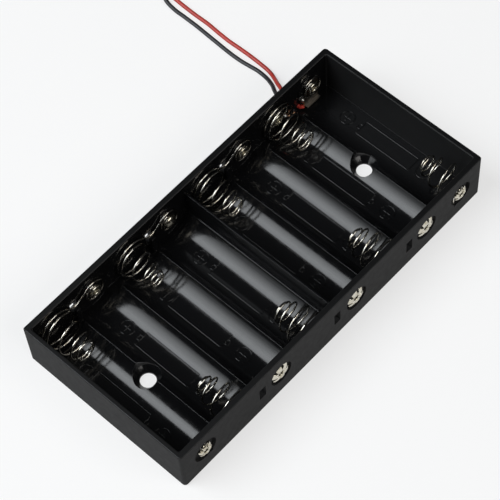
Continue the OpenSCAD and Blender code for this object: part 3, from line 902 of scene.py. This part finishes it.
def on_floor(n, points):
    """Fine path along the floor of bay n through flat points given from the bay's axis."""
    out = []
    for (x0, y0), (x1, y1) in zip(points, points[1:]):
        steps = max(1, round(math.hypot(x1 - x0, y1 - y0) / MARK_STEP))
        for i in range(steps):
            x, y = x0 + (x1 - x0) * i / steps, y0 + (y1 - y0) * i / steps
            out.append((x, y))
    out.append(points[-1])
    return [Vector((cell_x(n) + x, y, floor_z(n, cell_x(n) + x))) for x, y in out]


def circle_points(x, y, r, steps=28):
    """Closed flat circle."""
    angles = [math.tau * i / steps for i in range(steps + 1)]
    return [(x + r * math.cos(a), y + r * math.sin(a)) for a in angles]


def bay_marks(n):
    """Outline of the cell with its button at the positive end, and the two signs."""
    to_plus = 1 if n % 2 == 0 else -1
    middle = 0.0
    if n == 1:
        middle = -RECT_HALF_W
    elif n == CELLS:
        middle = RECT_HALF_W
    left, right = middle - RECT_HALF_W, middle + RECT_HALF_W
    plus_len, minus_len = EVEN_ENDS if n % 2 == 0 else ODD_ENDS
    plus_end, minus_end = to_plus * plus_len, -to_plus * minus_len
    nub = plus_end + to_plus * NUB_LEN
    nub_left, nub_right = middle - NUB_HALF_W, middle + NUB_HALF_W
    plus_y = to_plus * PLUS_OFF
    minus_y = -to_plus * MINUS_OFF
    arm = ARM_SHARE * SIGN_R
    lines = [
        [(left, plus_end), (right, plus_end), (right, minus_end), (left, minus_end), (left, plus_end)],
        [(nub_left, plus_end), (nub_left, nub), (nub_right, nub), (nub_right, plus_end)],
        circle_points(middle, plus_y, SIGN_R),
        [(middle - arm, plus_y), (middle + arm, plus_y)],
        [(middle, plus_y - arm), (middle, plus_y + arm)],
        circle_points(middle, minus_y, SIGN_R),
        [(middle - arm, minus_y), (middle + arm, minus_y)],
    ]
    mesh = tube_mesh([on_floor(n, line) for line in lines], MARK_R, MARK_SIDES)
    fixed_piece(f"marks_{n}", mesh, "black_moulding")


for n in range(1, CELLS + 1):
    bay_marks(n)


# Leads, with their routes in millimetres, as in the CAD model

BLACK_ROUTE = [
    (46.1, 27.8, 4.7), (46.1, 29.5, 4.7), (46.1, 31, 4.7), (46.3, 33, 4.6), (47, 35, 4.3),
    (48.1, 37, 3.6), (49, 38.5, 3), (49.9, 39.8, 2.4), (50.8, 41.5, 1.6), (51.6, 43.6, 1),
    (52, 45.9, 0.7), (52.1, 48.2, 0.65), (51.8, 51, 0.65), (51.5, 54, 0.65), (51.4, 57, 0.65),
    (51.5, 60.6, 0.65), (51.7, 64, 0.65), (52, 69, 0.65), (52.3, 74, 0.65), (52.4, 79, 0.65),
    (52.5, 84, 0.65), (53.2, 88, 0.95), (54.3, 90.3, 1.5), (55.3, 92.5, 1.95), (55.8, 94, 1.95),
]
RED_INNER = [(49.15, 26.75, 5.2), (48.95, 26.85, 5), (48.65, 27.2, 4.8), (48.5, 27.8, 4.7)]
RED_ROUTE = [
    (48.5, 27.8, 4.7), (48.5, 29.5, 4.7), (48.5, 31, 4.7), (48.8, 33, 4.5), (49.6, 35.2, 4.1),
    (50.6, 37.4, 3.4), (51.5, 39.3, 2.6), (52.4, 40.9, 1.8), (53.2, 42.4, 1.1), (53.9, 44.1, 0.7),
    (54.3, 46, 0.65), (54.5, 48.5, 0.65), (54.7, 53, 0.65), (54.7, 58, 0.65), (54.6, 62, 0.65),
    (54.8, 66.5, 0.65), (55.2, 72, 0.65), (55.2, 77, 0.65), (55.4, 83, 0.65), (55.8, 89, 0.65),
    (56, 93, 0.65),
]
COIL_OUTER_R = 7.8
COIL_X = RED_ROUTE[-1][0] + COIL_OUTER_R
COIL_Y = 95.5
COIL_SPACING = 1.3
COIL_POINTS_A_TURN = 32
COIL_END_R = 3.75
RED_TURNS = 1.455
BLACK_TURNS = 1.955
BLACK_DROPS_AT = 1.6
DIVE_TURNS = 0.36
LOW_Z = 0.65
HIGH_Z = 1.95
LEAD_SIDES = 16
LEAD_SPACING = 0.5 * MM
INNER_SPACING = 0.25 * MM

# Bare ends, from the middle of the coil and along the strands, in millimetres
BARE_X = 3.6
BARE_Y = 1
BARE_STEPS = (0, 1.7, 3.4, 5)

STRANDS = 7
STRAND_SIDES = 6
BARE_R = 0.35 * MM
BARE_STRAND_R = 0.12 * MM
BARE_SPACING = 0.2 * MM
BARE_TWIST = 6 * MM


def coil_points(turns, z_knots):
    """Flat spiral from the outer turn inwards, clockwise from the -X side; z_knots give its height."""
    out = []
    count = round(turns * COIL_POINTS_A_TURN)
    dive = turns - DIVE_TURNS
    for i in range(count + 1):
        t = i / COIL_POINTS_A_TURN
        r = COIL_OUTER_R - COIL_SPACING * min(t, dive)
        if t > dive:
            s = (t - dive) / (turns - dive)
            r += (COIL_END_R - r) * s * s * (3 - 2 * s)
        a = math.pi - math.tau * t
        out.append((COIL_X + r * math.cos(a), COIL_Y + r * math.sin(a), eased(t, z_knots)))
    return out


def strands(path, radius, strand_r, turn_length):
    """Points and faces of a core strand and others twisted round it."""
    frames = path_frames(path)
    paths = [path]
    for k in range(STRANDS):
        run = 0.0
        twisted = []
        for i, (ahead, side) in enumerate(frames):
            if i:
                run += (path[i] - path[i - 1]).length
            a = math.tau * (k / STRANDS + run / turn_length)
            out = side * math.cos(a) + ahead.cross(side) * math.sin(a)
            twisted.append(path[i] + out * (radius - strand_r))
        paths.append(twisted)
    return tube_mesh(paths, strand_r, STRAND_SIDES)


def lead_piece(name, route, coil, slot, replaced):
    """One lead as a smooth tube."""
    path = smooth_path([Vector(p) * MM for p in route + coil], LEAD_SPACING)
    piece = fixed_piece(name, tube_mesh([path], lead_d / 2, LEAD_SIDES, CUT_END), slot, *replaced)
    tuple(path[0])
    [tuple(p) for p in path]


def bare_end(name, x, start_y, towards):
    """Tinned strands of a lead's far end."""
    points = [Vector((x, start_y + towards * step, LOW_Z)) * MM for step in BARE_STEPS]
    mesh = strands(smooth_path(points, BARE_SPACING), BARE_R, BARE_STRAND_R, BARE_TWIST)
    return fixed_piece(name + "_strands", mesh, "solder", name)


red_bare = bare_end("bare_end_red", COIL_X + BARE_X, COIL_Y + BARE_Y, -1)
black_bare = bare_end("bare_end_black", COIL_X - BARE_X, COIL_Y - BARE_Y, 1)
red_coil = coil_points(RED_TURNS, [(0, LOW_Z), (RED_TURNS, LOW_Z)])
black_coil = coil_points(BLACK_TURNS, [(0, HIGH_Z), (BLACK_DROPS_AT, HIGH_Z), (BLACK_TURNS, LOW_Z)])
lead_piece(
    "red_lead", RED_ROUTE, red_coil, "red_insulation",
    ("lead_red", "coil_red"),
)
lead_piece(
    "black_lead", BLACK_ROUTE, black_coil, "black_insulation",
    ("lead_black", "coil_black"),
)
inner_path = smooth_path([Vector(p) * MM for p in RED_INNER], INNER_SPACING)
inner_mesh = tube_mesh([inner_path], lead_d / 2, LEAD_SIDES, CUT_END)
fixed_piece("red_lead_inner_end", inner_mesh, "red_insulation", "lead_red")


# Conductors from the leads to the tags, and the solder on them

TAG_ANGLE = math.radians(-38)
TAG_REACH = 4.1 * MM
FOOT_W = 5.8 * MM
LUG_W = 2.2 * MM
LUG_DROP = 2.6 * MM
CONDUCTOR_R = 0.25 * MM
STRAND_R = 0.085 * MM
CONDUCTOR_TWIST = 4 * MM
STRIP_GAP = 0.03 * MM
JOINT_PAST_TAG = 0.6 * MM
joint_reach = TAG_REACH + JOINT_PAST_TAG
black_joint = Vector((
    cell_x(7) + joint_reach * math.cos(TAG_ANGLE),
    wall_y - tag_t - CONDUCTOR_R - fit,
    ring_z + joint_reach * math.sin(TAG_ANGLE),
))
tag_8_y = wall_y - pad_t - fit / 2
red_joint = Vector((
    cell_x(8) - (FOOT_W + LUG_W) / 2,
    tag_8_y - tag_t - CONDUCTOR_R - fit,
    ring_z - LUG_DROP,
))


def conductor(name, points):
    """Stripped copper strands from a lead to its tag, in place of the named node."""
    mesh = strands(smooth_path(points, WIRE_SPACING), CONDUCTOR_R, STRAND_R, CONDUCTOR_TWIST)
    fixed_piece(name + "_strands", mesh, "copper_strands", name)


black_exit = Vector(BLACK_ROUTE[0]) * MM
strip_y = wall_y - CONDUCTOR_R - STRIP_GAP
conductor("conductor_black", [
    black_exit,
    black_exit - Vector((0, CONDUCTOR_R, 0)),
    Vector((black_exit.x - 0.5 * MM, wall_y - 0.8 * MM, black_exit.z)),
    Vector((black_exit.x - 1.5 * MM, strip_y - 0.15 * MM, black_exit.z + 0.05 * MM)),
    Vector((black_exit.x - 2.8 * MM, strip_y, black_exit.z + 0.3 * MM)),
    Vector((black_exit.x - 3.2 * MM, strip_y, black_exit.z + 0.9 * MM)),
    black_joint + Vector((0.25, 0.15, -0.35)) * MM,
    black_joint,
])
red_tip = Vector(RED_INNER[0]) * MM
red_dir = (Vector(RED_INNER[0]) - Vector(RED_INNER[1])).normalized()
conductor("conductor_red", [red_tip, red_tip + red_dir * CONDUCTOR_R, red_joint])

BEAD_R = 0.75 * MM
BEAD_SIDES = 28
BEAD_LUMP = 0.09
# Shares (radius, height) of the bead from its top to the tag
BEAD_PROFILE = [
    (0.05, 0.86), (0.3, 0.84), (0.55, 0.72), (0.74, 0.5),
    (0.84, 0.26), (0.95, 0.08), (1.0, 0.0),
]


def solder_bead(name, joint, back_y):
    """Solder that wets the tag round the joint and rises to an uneven dome."""
    def place(across, up, along):
        spread = BEAD_R * (1 + BEAD_LUMP * math.sin(3 * math.atan2(up, across) + 1) * along)
        return Vector((joint.x + across * spread, back_y - along * BEAD_R, joint.z + up * spread))

    verts, faces = turned_mesh(BEAD_PROFILE, BEAD_SIDES, place, closed=False)
    faces.append(tuple(reversed(range(BEAD_SIDES))))
    faces.append(tuple(range(len(verts) - BEAD_SIDES, len(verts))))
    fixed_piece(name + "_bead", (verts, faces), "solder", name)


solder_bead("solder_7", black_joint, wall_y - tag_t - fit / 2)
solder_bead("solder_8", red_joint, tag_8_y - tag_t)


# Floor, light and camera

FLOOR_SIZE = 6.0
FLOOR_WHITE = (0.97, 0.97, 0.97, 1.0)
WHITE_SHARE = 0.65
SKY_COLOUR = (0.95, 0.97, 1.0, 1.0)
SKY_STRENGTH = 0.025


def floor():
    """Pale floor that keeps a soft shadow and shows as a white background."""
    half = FLOOR_SIZE / 2
    corners = [(-half, -half, 0), (half, -half, 0), (half, half, 0), (-half, half, 0)]
    plane = new_object("floor", corners, [(0, 1, 2, 3)], smooth=False)
    s = Shader("floor_white")
    s.set(Base_Color=FLOOR_WHITE, Roughness=0.9, Specular_IOR_Level=0.1)
    rays = s.node("ShaderNodeLightPath").outputs
    seen = s.math("MAXIMUM", rays["Is Camera Ray"], rays["Is Glossy Ray"])
    seen = s.math("MAXIMUM", seen, rays["Is Transmission Ray"])
    white = s.node("ShaderNodeEmission", Strength=1.0)
    blend = s.node("ShaderNodeMixShader")
    s.link(s.math("MULTIPLY", seen, WHITE_SHARE), blend.inputs["Fac"])
    s.link(s.bsdf.outputs["BSDF"], blend.inputs[1])
    s.link(white.outputs["Emission"], blend.inputs[2])
    s.link(blend.outputs["Shader"], s.out.inputs["Surface"])
    plane.data.materials.append(s.material)


def softbox(name, direction, distance, size, power, colour, up=(0, 0, 1)):
    """Rectangular lamp in the given direction from the object, facing it, its height along up."""
    data = bpy.data.lights.new(name, "AREA")
    data.shape = "RECTANGLE"
    data.size, data.size_y = size
    data.energy = power
    data.color = colour
    lamp = bpy.data.objects.new(name, data)
    back = Vector(direction).normalized()
    high = Vector(up)
    high = (high - back * high.dot(back)).normalized()
    place = Matrix((high.cross(back), high, back)).transposed().to_4x4()
    place.translation = back * distance
    lamp.matrix_world = place
    bpy.context.scene.collection.objects.link(lamp)


def world():
    """Faint light from all round."""
    scene_world = bpy.data.worlds.new("surroundings")
    bpy.context.scene.world = scene_world
    scene_world.use_nodes = True
    background = scene_world.node_tree.nodes["Background"]
    background.inputs["Color"].default_value = SKY_COLOUR
    background.inputs["Strength"].default_value = SKY_STRENGTH


# Camera fitted to the photograph
CAMERA_LENS = 143.76
CAMERA_PLACE = Vector((-197.584, -208.132, 498.078)) * MM
CAMERA_RIGHT = Vector((0.67481, -0.73659, -0.04546))
CAMERA_UP = Vector((0.65073, 0.56483, 0.50746))
TO_CAMERA = Vector((-0.34812, -0.37202, 0.86047))


def camera():
    data = bpy.data.cameras.new("camera")
    data.lens = CAMERA_LENS
    data.sensor_width = 36
    data.clip_start = 0.01
    data.clip_end = 20
    obj = bpy.data.objects.new("camera", data)
    place = Matrix((CAMERA_RIGHT, CAMERA_UP, TO_CAMERA)).transposed().to_4x4()
    place.translation = CAMERA_PLACE
    obj.matrix_world = place
    bpy.context.scene.collection.objects.link(obj)
    bpy.context.scene.camera = obj


KEY_DISTANCE = 1.2
KEY_WIDTH = 0.9
KEY_STRIPS = 9
KEY_HIGH = 2.75 * MM
KEY_LOW = 7.2 * MM
KEY_COLOUR = (0.93, 0.97, 1.0)
# Radiance of the key from its upper edge to its lower one
KEY_RADIANCE = [(0, 5.2), (0.25, 6.0), (0.45, 4.6), (0.65, 2.9), (0.85, 1.0), (1, 0.3)]


FRONT_LAMP = {
    "direction": (0.1, -0.75, 0.65),
    "distance": 1.3,
    "size": (1.0, 0.7),
    "power": 7,
    "colour": (1.0, 0.98, 0.95),
}


def mirrored(across):
    """Direction that a trough's side, at a distance from its axis, mirrors to the camera."""
    slope = across / trough_r
    normal = Vector((-slope, 0, math.sqrt(1 - slope * slope)))
    return normal * (2 * normal.dot(TO_CAMERA)) - TO_CAMERA


def key_light():
    """Tall soft light that lies along the arc mirrored by the troughs' sides, fading downwards."""
    for i in range(KEY_STRIPS):
        shares = (i / KEY_STRIPS, (i + 0.5) / KEY_STRIPS, (i + 1) / KEY_STRIPS)
        top, centre, foot = (mirrored(KEY_HIGH + (KEY_LOW - KEY_HIGH) * share) for share in shares)
        height = (top - foot).length * KEY_DISTANCE
        power = math.pi * KEY_WIDTH * height * eased(shares[1], KEY_RADIANCE)
        softbox(f"key_{i}", centre, KEY_DISTANCE, (KEY_WIDTH, height), power, KEY_COLOUR, top - foot)


floor()
world()
key_light()
softbox("front", **FRONT_LAMP)
camera()
bpy.context.scene.view_settings.view_transform = "Standard"
